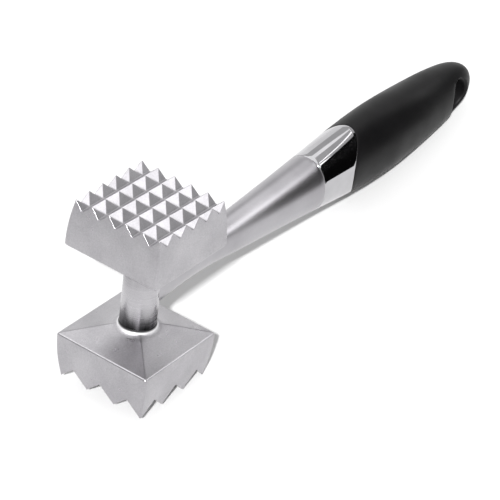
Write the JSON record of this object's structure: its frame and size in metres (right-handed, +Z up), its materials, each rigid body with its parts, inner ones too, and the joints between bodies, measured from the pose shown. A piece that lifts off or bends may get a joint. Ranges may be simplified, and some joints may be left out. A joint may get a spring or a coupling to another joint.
{
  "type": "meat mallet",
  "caption": "Two-faced meat mallet: square metal head with fine and coarse pyramid teeth, tapered metal shank, polished ring and soft black grip with a hang hole, lying on a table.",
  "frame": {"origin": "centre of the bounding box's base, on the table that the mallet lies on", "axes": "+X from the head towards the grip's end, +Z up, +Y across the handle; the fine teeth face up and the coarse teeth rest on the table"},
  "size_m": [0.2936, 0.05, 0.0989],
  "materials": {
    "head_metal": "satin",
    "shank_metal": "satin",
    "ring_metal": "polished",
    "soft_grip": "matte",
    "core_plastic": "matte",
    "steel": "machined"
  },
  "bodies": {
    "root": {"fine_tooth_block": "head_metal", "coarse_tooth_block": "head_metal", "head_stem": "head_metal", "handle_shank": "shank_metal", "collar_ring": "ring_metal", "grip_sleeve": "soft_grip", "grip_core_left": "core_plastic", "grip_core_right": "core_plastic", "handle_tang": "steel", "cross_pin_front": "steel", "cross_pin_rear": "steel", "fine_block_stud": "steel", "coarse_block_stud": "steel", "fine_block_dowel": "steel", "coarse_block_dowel": "steel", "shank_stud": "steel", "shank_dowel": "steel"}
  },
  "joints": []
}
